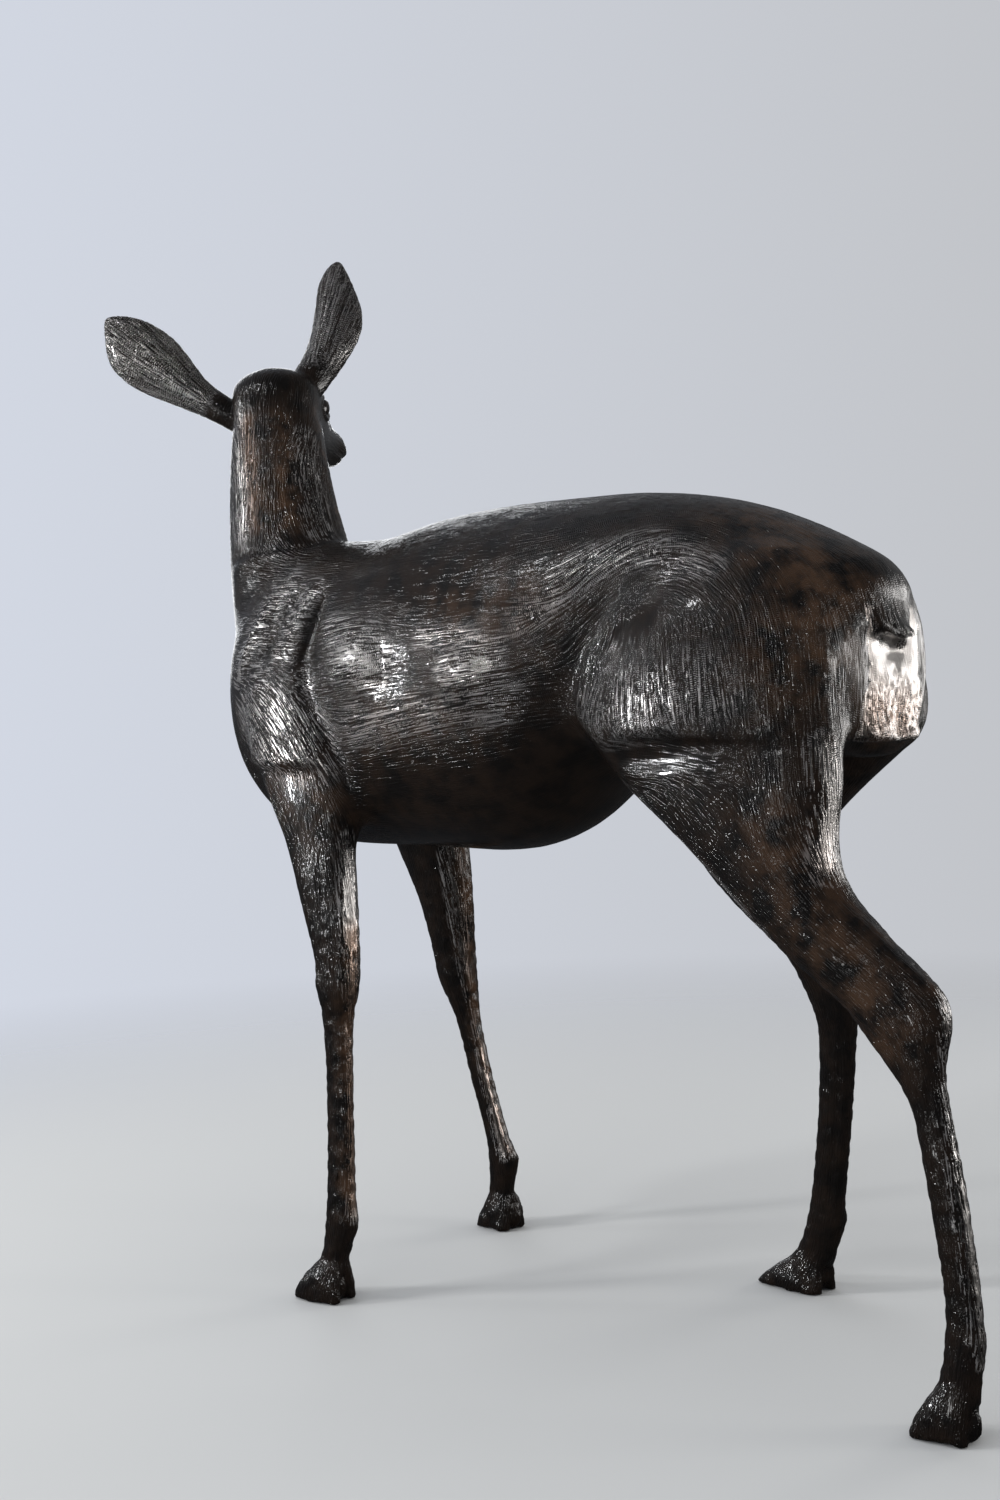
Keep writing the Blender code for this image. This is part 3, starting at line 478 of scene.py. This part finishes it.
def fur_depth(spots, facing):
    """How strongly the comb bit: 1 on the shoulder and haunch, near 0 where she was left smooth."""
    x, y, z = spots.T
    depth = np.full(len(spots), 0.42)
    high_flank = blend(z, 65, 68) * blend(y, -26, -22) * (1 - blend(y, -4, 4)) * (1 - blend(z, 73, 76))
    depth += (0.12 - depth) * high_flank
    for side in (1, -1):
        for path, reach, bite in DEEP_FUR:
            depth += (bite - depth) * near_path(on_side(side, path), spots, reach)
        for bump_x, bump_y, bump_z in RIB_BUMPS:
            bump_line = [(side * bump_x, bump_y, bump_z), (side * bump_x, bump_y + 0.6, bump_z)]
            depth += (0.5 - depth) * near_path(bump_line, spots, 1.6)
    belly = blend(-facing[:, 2], 0.15, 0.7) * blend(y, -24, -20) * (1 - blend(y, 8, 13)) * blend(z, 40, 43)
    back = blend(facing[:, 2], 0.6, 0.95) * blend(z, 70, 74) * blend(y, -30, -24)
    forearm = near_path([(9, -38, 50), (12.5, -30, 50.5), (13, -25, 50)], spots, 3.2)
    thigh_top = near_path([(11, 9, 54), (13.5, 15, 53.8), (14, 22, 53.8)], spots, 1.7)
    hood = near_path([(5, 30, 70), (0, 33, 69), (-5, 30, 70)], spots, 4.0)
    breast = near_path([(4, -46, 74), (7, -44, 68), (8, -43, 62)], spots, 4.2)
    hip_hollow = near_path([(12.5, 13.0, 64.4), (12.6, 16, 66)], spots, 3.0)
    patch = blend(y, 31.8, 32.8) * blend(z, 53, 54)
    hooves = 1 - blend(z, 3.6, 4.6)
    for smooth, left in ((belly, 0.08), (back, 0.6), (forearm, 0.45), (thigh_top, 0.03), (hood, 0.35),
                         (breast, 0.25), (hip_hollow, 0.03), (patch, 0.25), (hooves, 0.5)):
        depth += (left - depth) * smooth
    for path, reach in REAR_STRIPS:
        depth += (0.2 - depth) * near_path(path, spots, reach)
    neck = blend(z, 78, 81) * (1 - blend(z, 92, 95))
    depth += (0.8 - depth) * neck
    head = to_head(spots)
    depth += (0.3 - depth) * (1 - blend(np.linalg.norm(head - (0, -5, -1), axis=1), 7, 12))
    muzzle = blend(-head[:, 1], 14.6, 16.2) * (1 - blend(np.linalg.norm(head, axis=1), 19, 21))
    eyes = 1 - blend(np.linalg.norm(np.abs(head) - np.abs(EYE), axis=1), 1.7, 2.0)
    eyes *= blend(-head[:, 1], 3, 3.4)
    depth *= (1 - muzzle) * (1 - eyes)
    for root, tip in EARS:
        surely = on_ear(spots, root, tip)[1]
        depth += (1.1 - depth) * surely
    return depth * np.where(x < -4, 0.8, 1.0)


TAPS = 13
STROKE_GRAIN = 0.0015


def link_strokes(tree, place, lie, grain):
    """Adds the nodes of a layer of strokes: noise of that grain, averaged along the lie of the fur."""
    total = None
    for tap in range(TAPS):
        step = tree.nodes.new("ShaderNodeVectorMath")
        step.operation = "SCALE"
        tree.links.new(lie, step.inputs[0])
        step.inputs["Scale"].default_value = grain * (tap - (TAPS - 1) / 2)
        moved = tree.nodes.new("ShaderNodeVectorMath")
        moved.operation = "ADD"
        tree.links.new(place, moved.inputs[0])
        tree.links.new(step.outputs[0], moved.inputs[1])
        noise = tree.nodes.new("ShaderNodeTexNoise")
        noise.noise_dimensions = "3D"
        noise.normalize = False
        noise.inputs["Scale"].default_value = 1 / grain
        noise.inputs["Detail"].default_value = 0.0
        tree.links.new(moved.outputs[0], noise.inputs["Vector"])
        if total is None:
            total = noise.outputs[0]
            continue
        both = tree.nodes.new("ShaderNodeMath")
        both.operation = "ADD"
        tree.links.new(total, both.inputs[0])
        tree.links.new(noise.outputs[0], both.inputs[1])
        total = both.outputs[0]
    return total


def stroke_heights(piece):
    """The strokes' height at each point of the piece, worked out by a geometry modifier."""
    group = bpy.data.node_groups.new("strokes", "GeometryNodeTree")
    group.interface.new_socket("Geometry", in_out="INPUT", socket_type="NodeSocketGeometry")
    group.interface.new_socket("Geometry", in_out="OUTPUT", socket_type="NodeSocketGeometry")
    source = group.nodes.new("NodeGroupInput")
    result = group.nodes.new("NodeGroupOutput")
    place = group.nodes.new("GeometryNodeInputPosition")
    lie = group.nodes.new("GeometryNodeInputNamedAttribute")
    lie.data_type = "FLOAT_VECTOR"
    lie.inputs["Name"].default_value = "lie"
    store = group.nodes.new("GeometryNodeStoreNamedAttribute")
    store.data_type = "FLOAT"
    store.domain = "POINT"
    store.inputs["Name"].default_value = "strokes"
    total = link_strokes(group, place.outputs[0], lie.outputs["Attribute"], STROKE_GRAIN)
    group.links.new(total, store.inputs["Value"])
    group.links.new(source.outputs[0], store.inputs["Geometry"])
    group.links.new(store.outputs[0], result.inputs[0])
    piece.modifiers.new("strokes", "NODES").node_group = group
    apply_modifiers(piece)
    found = np.empty(len(piece.data.vertices), np.float32)
    piece.data.attributes["strokes"].data.foreach_get("value", found)
    piece.data.attributes.remove(piece.data.attributes["strokes"])
    return found.astype(float)


MOST_TRIANGLES = 199000
FUR_DEPTH = 0.00032

points = read_points(doe.data)
facing = read_facing(doe.data)
spots = points / CANON - CANON_ORIGIN
keep_attribute(doe.data, "lie", fur_lie(spots, facing))
strokes = stroke_heights(doe)
strokes /= strokes.std()
height = np.tanh(strokes) * FUR_DEPTH * fur_depth(spots, facing)
points += facing * height[:, None]
points[:, 2] = np.maximum(points[:, 2], 0)
move_points(doe.data, points)

triangles = sum(len(face.vertices) - 2 for face in doe.data.polygons)
thin = doe.modifiers.new("thin", "DECIMATE")
thin.ratio = min(1.0, MOST_TRIANGLES / triangles)
apply_modifiers(doe)
doe.data.shade_smooth()

# The patina: black-brown over aluminium under clear lacquer, warm brown in patches, with the metal rubbed
# bright on the ridges. Three numbers at each point say how deep the fur is, how brown and how rubbed; the
# last also holds a painted shadow, left black, under the tail.


# Where the patina is brown: a path, its reach and how brown.
BROWN_PLACES = [
    ([(4.6, -42.4, 92), (5.4, -41.2, 86), (5.6, -40.1, 81)], 1.3, 1.0),
    ([(3.0, -38.6, 92), (3.6, -37.6, 86), (4.0, -36.8, 80.8)], 1.3, 1.0),
    ([(-3.4, -38, 93), (-3.4, -37, 86), (-3.6, -36, 80)], 1.6, 0.9),
    ([(4, 24, 76), (7, 28, 73), (8, 32, 69), (10, 31, 62)], 5.0, 0.85),
    ([(-4, 24, 76), (-7, 28, 73), (-8, 32, 69), (-10, 31, 62)], 5.0, 0.6),
    ([(12, -6, 68), (12, 2, 68)], 4.0, 0.5),
    ([(12.8, -18, 58), (13.6, -6, 58)], 4.0, 0.35),
    ([(12.6, 28, 48), (12.6, 30, 42), (12.6, 34, 37), (12.6, 38, 32)], 3.0, 0.7),
    ([(11, 34, 44), (11, 42, 36)], 1.6, 0.8),
    ([(12, -30, 52), (12, -26, 50)], 3.5, 0.5),
    ([(3, 33.4, 57.0), (0, 33.4, 56.4), (-3, 33.4, 57)], 2.4, 0.9),
    ([(12, -22.4, 37), (12.4, -22, 34), (13, -22.8, 24), (13.8, -22.6, 10)], 1.2, 1.0),
    ([(-11.4, -27.6, 45), (-12.4, -28, 34), (-13, -28, 24), (-14.2, -24.8, 10)], 1.2, 1.0),
]
# Where the metal is rubbed: a path, its reach and how bright, down the legs first and then along the body.
RUBBED_PLACES = [
    ([(10.2, 31.6, 54), (9.8, 31.8, 49), (11.0, 31.9, 44.6)], 1.3, 0.9),
    ([(11.4, 43.4, 33), (12.0, 43.8, 27), (12.6, 44.2, 20), (12.9, 45.0, 14), (13.2, 46.0, 7)], 1.1, 1.0),
    ([(11.6, -22.4, 46), (12.2, -22.2, 36.0)], 1.0, 1.0),
    ([(12.6, -22.2, 34), (12.4, -22.4, 22), (13.6, -22.4, 9)], 0.8, 0.8),
    ([(-9.4, -28.0, 43), (-10.6, -27.8, 34)], 1.1, 0.7),
    ([(-11.0, -28.2, 33), (-12.5, -26.9, 18), (-13.2, -25.4, 9)], 0.7, 0.9),
    ([(10.6, -39.4, 65.4), (10.4, -39.6, 63.6)], 1.3, 0.8),
    ([(12.2, -27.6, 63.2), (12.2, -27.2, 62.6)], 0.8, 0.7),
    ([(12.0, -36, 61), (13.4, -31, 58), (13.6, -27, 56)], 4.0, 0.45),
    ([(8.6, -33, 73), (10.2, -37, 67)], 2.4, 0.35),
    ([(9.6, -28.6, 72), (11.6, -30.6, 66)], 1.8, 0.35),
    ([(12.8, -20.6, 65.2), (13.2, -19.1, 64.7), (13.2, -16.6, 64.0)], 2.5, 0.70),
    ([(12.4, -24.0, 68.0), (12.8, -20.6, 67.6), (13.0, -17.4, 66.8)], 2.0, 0.30),
    ([(13.9, -5.4, 62.6), (14.1, -3.9, 62.3), (14.1, -1.4, 62.9)], 1.9, 0.66),
    ([(13.4, -10, 66.2), (13.6, -5, 65.8), (13.4, 0, 65)], 1.3, 0.30),
    ([(12.6, -20, 58), (13.8, -8, 59), (13.8, 0, 59.6)], 2.6, 0.24),
    ([(4.8, -43.6, 92), (5.4, -42.6, 86), (6.0, -42.6, 80.6)], 2.0, 0.42),
    ([(0.6, -36.4, 90), (1.2, -35.9, 84), (1.4, -35.0, 80)], 1.8, 0.34),
    ([(12.4, 3, 67), (11.4, 8, 71), (10.6, 15, 73), (11.4, 21, 71)], 2.4, 0.30),
    ([(13.5, 10, 58), (14, 16, 59), (13.6, 23, 60)], 3.8, 0.20),
    ([(11.4, 9, 52), (12, 18, 45), (11.8, 26, 39)], 1.4, 0.35),
]
RUBBED_EARS = (0.55, 0.25)
# The painted shadow of the tail on the rump patch: a dark U along this path where the patch shows no bare
# metal.
TAIL_SHADE = [(3.7, 33.5, 65.2), (3.3, 33.6, 63.8), (1.8, 33.4, 62.7), (-0.6, 33.4, 62.2),
              (-1.8, 33.3, 62.8)]
TAIL_RIM = [(0.6, 35.2, 63.7), (-1.2, 35.6, 63.7), (-3.6, 34.4, 64.2)]


def tint(spots):
    """How warm a brown the patina has at each place."""
    brown = np.full(len(spots), 0.12)
    for path, reach, share in BROWN_PLACES:
        brown += (share - brown) * near_path(path, spots, reach)
    return brown


def rub_and_tail_shadow(spots):
    """How bright the bare metal shows at each place: most on the rump patch, which has an uneven edge."""
    x, y, z = spots.T
    edge = 4.7 - 0.3 * blend(66 - z, 0, 5) + 1.2 * blend(60 - z, 0, 2.6) + 0.15 * crumpled(spots, 1.5)
    patch = blend(edge - np.abs(x), -0.1, 0.25) * blend(66.2 - z, 0.0, 0.4)
    patch *= blend(z, 54.3, 54.9) * blend(y, 31.6, 32.4)
    patch *= 0.62 + 0.38 * blend(z + 0.8 * crumpled(spots, 1.2), 57.5, 60.5)
    # A painted shadow: under the tail the patch shows no bare metal, so it stays black there.
    shade = near_path(TAIL_SHADE, spots, 0.6)
    flap = blend(y, 33.5, 34.0) * blend(z, 63.0, 63.4)
    rub_and_shadow = patch * (1 - shade) * (1 - flap) + 0.9 * near_path(TAIL_RIM, spots, 0.5)
    for path, reach, share in RUBBED_PLACES:
        rub_and_shadow = np.maximum(rub_and_shadow, share * near_path(path, spots, reach))
    for (root, tip), share in zip(EARS, RUBBED_EARS):
        surely = on_ear(spots, root, tip)[1]
        rub_and_shadow = np.maximum(rub_and_shadow, share * surely)
    return rub_and_shadow


spots = read_points(doe.data) / CANON - CANON_ORIGIN
facing = read_facing(doe.data)
keep_attribute(doe.data, "lie", fur_lie(spots, facing))
keep_attribute(doe.data, "fur", fur_depth(spots, facing))
keep_attribute(doe.data, "brown", tint(spots))
keep_attribute(doe.data, "rub_and_shadow", rub_and_tail_shadow(spots))

BLACK = (0.007, 0.006, 0.0055, 1)
BROWN = (0.070, 0.038, 0.021, 1)
SILVER = (0.56, 0.55, 0.54, 1)
ROSE = (0.42, 0.30, 0.235, 1)
STAIN_GRAIN = 38.0
WEAR_GRAIN = 300.0
PIT_GRAIN = 560.0
STROKE_SHADING = 0.0008

patina = bpy.data.materials.new("patinated_aluminium")
patina.use_nodes = True
tree = patina.node_tree
shader = tree.nodes["Principled BSDF"]
coordinates = tree.nodes.new("ShaderNodeTexCoord")


def attribute(name):
    """A node that reads one of the skin's own numbers."""
    node = tree.nodes.new("ShaderNodeAttribute")
    node.attribute_name = name
    return node


def maths(operation, one, two=0.0):
    """A sum of two values or sockets."""
    node = tree.nodes.new("ShaderNodeMath")
    node.operation = operation
    for socket, value in zip(node.inputs, (one, two)):
        if isinstance(value, (int, float)):
            socket.default_value = value
        else:
            tree.links.new(value, socket)
    return node.outputs[0]


def between(value, low, high, start=0.0, end=1.0):
    """Maps low..high to start..end, and holds it there."""
    node = tree.nodes.new("ShaderNodeMapRange")
    for name, given in (("From Min", low), ("From Max", high), ("To Min", start), ("To Max", end)):
        node.inputs[name].default_value = given
    tree.links.new(value, node.inputs["Value"])
    return node.outputs[0]


def mixed(share, one, two):
    """A mix of two colours, each a value or a socket."""
    node = tree.nodes.new("ShaderNodeMix")
    node.data_type = "RGBA"
    tree.links.new(share, node.inputs["Factor"])
    for socket, value in zip((node.inputs[6], node.inputs[7]), (one, two)):
        if isinstance(value, tuple):
            socket.default_value = value
        else:
            tree.links.new(value, socket)
    return node.outputs[2]


def cloud(scale, detail=2.0, roughness=0.5):
    """Soft noise over the piece's own coordinates, 0 to 1, with that many lumps in a metre."""
    node = tree.nodes.new("ShaderNodeTexNoise")
    node.inputs["Scale"].default_value = scale
    node.inputs["Detail"].default_value = detail
    node.inputs["Roughness"].default_value = roughness
    tree.links.new(coordinates.outputs["Object"], node.inputs["Vector"])
    return node.outputs[0]


lie = attribute("lie")
fur = attribute("fur").outputs["Fac"]
brown = attribute("brown").outputs["Fac"]
rub_and_shadow = attribute("rub_and_shadow").outputs["Fac"]
strokes_here = link_strokes(tree, coordinates.outputs["Object"], lie.outputs["Vector"], STROKE_GRAIN)
ridge = between(strokes_here, -1.0, 1.0)

stain = maths("MULTIPLY", brown, between(cloud(STAIN_GRAIN, 3.0, 0.6), 0.38, 0.62))
worn = maths("ADD", ridge, between(rub_and_shadow, 0.0, 0.7, 0.0, 0.25))
worn = maths("ADD", worn, between(rub_and_shadow, 0.5, 0.78, 0.0, 0.9))
worn = maths("SUBTRACT", worn, between(cloud(WEAR_GRAIN), 0.3, 0.7, 0.72, 0.88))
bare = maths("MULTIPLY", between(worn, 0.0, 0.16), between(rub_and_shadow, 0.06, 0.3))
colour = mixed(bare, mixed(stain, BLACK, BROWN), mixed(brown, SILVER, ROSE))
tree.links.new(colour, shader.inputs["Base Color"])
tree.links.new(bare, shader.inputs["Metallic"])
tree.links.new(between(rub_and_shadow, 0.5, 1.0, 0.30, 0.42), shader.inputs["Roughness"])
shader.inputs["Specular IOR Level"].default_value = 0.1
shader.inputs["Coat Weight"].default_value = 1.0
shader.inputs["Coat Roughness"].default_value = 0.03
shader.inputs["Coat IOR"].default_value = 1.45

pits = between(cloud(PIT_GRAIN), 0.35, 0.75, 0.0, 0.12)
bump = tree.nodes.new("ShaderNodeBump")
bump.inputs["Distance"].default_value = STROKE_SHADING
bump.inputs["Strength"].default_value = 1.0
tree.links.new(maths("MULTIPLY", maths("ADD", ridge, pits), fur), bump.inputs["Height"])
tree.links.new(bump.outputs[0], shader.inputs["Normal"])
tree.links.new(bump.outputs[0], shader.inputs["Coat Normal"])
doe.data.materials.clear()
doe.data.materials.append(patina)
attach(doe, "root")
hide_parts("doe_statue")

# The stage: a plain pale floor that fades out at its rim, and a pale surround. For light that glints in the
# lacquer, the floor isn't there, and the surround is dim behind the camera and brighter behind her.

FLOOR_SIZE = 2.7
FLOOR_FADE = (0.7, 2.6)
FLOOR_COLOUR = (0.60, 0.60, 0.58, 1)

floor_mesh = bmesh.new()
bmesh.ops.create_grid(floor_mesh, x_segments=1, y_segments=1, size=FLOOR_SIZE)
floor_data = bpy.data.meshes.new("floor")
floor_mesh.to_mesh(floor_data)
floor_mesh.free()
floor = bpy.data.objects.new("floor", floor_data)
bpy.context.scene.collection.objects.link(floor)
paint = bpy.data.materials.new("floor_paint")
paint.use_nodes = True
floor_tree = paint.node_tree
floor_shader = floor_tree.nodes["Principled BSDF"]
floor_shader.inputs["Base Color"].default_value = FLOOR_COLOUR
floor_shader.inputs["Roughness"].default_value = 0.75
floor_place = floor_tree.nodes.new("ShaderNodeTexCoord")
far = floor_tree.nodes.new("ShaderNodeVectorMath")
far.operation = "LENGTH"
floor_tree.links.new(floor_place.outputs["Object"], far.inputs[0])
fade = floor_tree.nodes.new("ShaderNodeMapRange")
fade.interpolation_type = "SMOOTHSTEP"
fade.inputs["From Min"].default_value = FLOOR_FADE[0]
fade.inputs["From Max"].default_value = FLOOR_FADE[1]
floor_tree.links.new(far.outputs["Value"], fade.inputs["Value"])
clear = floor_tree.nodes.new("ShaderNodeBsdfTransparent")
ending = floor_tree.nodes.new("ShaderNodeMixShader")
floor_tree.links.new(fade.outputs[0], ending.inputs[0])
floor_tree.links.new(floor_shader.outputs[0], ending.inputs[1])
floor_tree.links.new(clear.outputs[0], ending.inputs[2])
floor_tree.links.new(ending.outputs[0], floor_tree.nodes["Material Output"].inputs["Surface"])
floor_data.materials.append(paint)
floor.visible_glossy = False

AWAY = (-0.777, -0.629, 0.0)
ACROSS = (-0.629, 0.777, 0.0)
COOL_SIDE = (0.66, 0.70, 0.79, 1)
GREY_SIDE = (0.52, 0.53, 0.55, 1)

world = bpy.data.worlds.new("studio")
bpy.context.scene.world = world
world.use_nodes = True
sky = world.node_tree
background = sky.nodes["Background"]
way = sky.nodes.new("ShaderNodeTexCoord")


def towards(direction, low, high, start, end):
    """Goes from start to end as the view turns towards a direction."""
    facing_it = sky.nodes.new("ShaderNodeVectorMath")
    facing_it.operation = "DOT_PRODUCT"
    sky.links.new(way.outputs["Generated"], facing_it.inputs[0])
    facing_it.inputs[1].default_value = direction
    ramp = sky.nodes.new("ShaderNodeMapRange")
    for name, given in (("From Min", low), ("From Max", high), ("To Min", start), ("To Max", end)):
        ramp.inputs[name].default_value = given
    sky.links.new(facing_it.outputs["Value"], ramp.inputs["Value"])
    return ramp.outputs[0]


glow = sky.nodes.new("ShaderNodeMath")
glow.operation = "MULTIPLY"
sky.links.new(towards(AWAY, -0.2, 0.8, 0.02, 0.24), glow.inputs[0])
sky.links.new(towards((0, 0, 1), -0.1, 0.25, 0.15, 1.0), glow.inputs[1])
seen = sky.nodes.new("ShaderNodeLightPath")
open_to = sky.nodes.new("ShaderNodeMath")
open_to.operation = "MAXIMUM"
sky.links.new(seen.outputs["Is Camera Ray"], open_to.inputs[0])
sky.links.new(seen.outputs["Is Diffuse Ray"], open_to.inputs[1])
strength = sky.nodes.new("ShaderNodeMix")
strength.data_type = "FLOAT"
sky.links.new(open_to.outputs[0], strength.inputs["Factor"])
sky.links.new(glow.outputs[0], strength.inputs[2])
strength.inputs[3].default_value = 1.0
sky.links.new(strength.outputs[0], background.inputs["Strength"])
surround = sky.nodes.new("ShaderNodeMix")
surround.data_type = "RGBA"
sky.links.new(towards(ACROSS, -0.35, 0.35, 0.0, 1.0), surround.inputs["Factor"])
surround.inputs[6].default_value = COOL_SIDE
surround.inputs[7].default_value = GREY_SIDE
sky.links.new(surround.outputs[2], background.inputs["Color"])

# The camera: off her left hip and a little lower than it, as the photograph was taken. Its heading is
# turned from straight across her towards her head, and its focal length is a share of the picture's height.

CAMERA_PLACE = Vector((1.4366, 1.1637, 0.58))
CAMERA_PITCH = 0.01714
CAMERA_ROLL = -0.04965
CAMERA_HEADING = math.radians(40.2)
FOCAL_SHARE = 1836.5 / 1500

level = Vector((-math.sin(CAMERA_HEADING), math.cos(CAMERA_HEADING), 0))
down = Vector((0, 0, -1))
ahead = Vector((-math.cos(CAMERA_HEADING), -math.sin(CAMERA_HEADING), 0))
tilted_down = down * math.cos(CAMERA_PITCH) - ahead * math.sin(CAMERA_PITCH)
tilted_ahead = down * math.sin(CAMERA_PITCH) + ahead * math.cos(CAMERA_PITCH)
across = level * math.cos(CAMERA_ROLL) - tilted_down * math.sin(CAMERA_ROLL)
below = level * math.sin(CAMERA_ROLL) + tilted_down * math.cos(CAMERA_ROLL)
lens = bpy.data.cameras.new("camera")
lens.sensor_width = 36.0
lens.lens = 36.0 * FOCAL_SHARE
camera = bpy.data.objects.new("camera", lens)
turn = Matrix((across, -below, -tilted_ahead)).transposed()
camera.matrix_world = Matrix.Translation(CAMERA_PLACE) @ turn.to_4x4()
bpy.context.scene.collection.objects.link(camera)
bpy.context.scene.camera = camera
bpy.context.scene.view_settings.view_transform = "Standard"


# The lights: square studio lights, small where their glints on her left side are small and bright.
# The front one is for the side that the photograph hides, and the fill above her leaves no glint.

LIGHT_AIM = Vector((0, 0, 0.6))


def softbox(name, azimuth, elevation, away, size, power, colour, glints=True):
    """A light that faces the doe's middle, in degrees round from her front and up, metres and watts."""
    turn = math.radians(azimuth)
    rise = math.radians(elevation)
    out = Vector((math.sin(turn) * math.cos(rise), -math.cos(turn) * math.cos(rise), math.sin(rise)))
    light = bpy.data.lights.new(name, "AREA")
    light.size = size
    light.energy = power
    light.color = colour
    lamp = bpy.data.objects.new(name, light)
    lamp.location = LIGHT_AIM + out * away
    lamp.rotation_euler = out.to_track_quat("Z", "Y").to_euler()
    lamp.visible_camera = False
    lamp.visible_glossy = glints
    bpy.context.scene.collection.objects.link(lamp)


softbox("key", 44, 5, 2.6, 0.30, 30, (0.97, 0.98, 1))
softbox("high", 52, 45, 2.6, 0.24, 10, (0.97, 0.98, 1))
softbox("side", 27, 18, 2.6, 0.2, 4, (0.98, 0.99, 1))
softbox("rim", 245, 2, 2.5, 0.9, 13, (1, 0.98, 0.96))
softbox("rear", 203, 3, 2.5, 0.6, 10, (1, 0.98, 0.96))
softbox("low", 100, -4, 2.4, 0.4, 4, (1, 1, 1))
softbox("front", 325, 16, 2.8, 1.3, 8, (0.96, 0.98, 1))
softbox("fill", 60, 86, 3.0, 3.0, 16, (1, 1, 1), False)
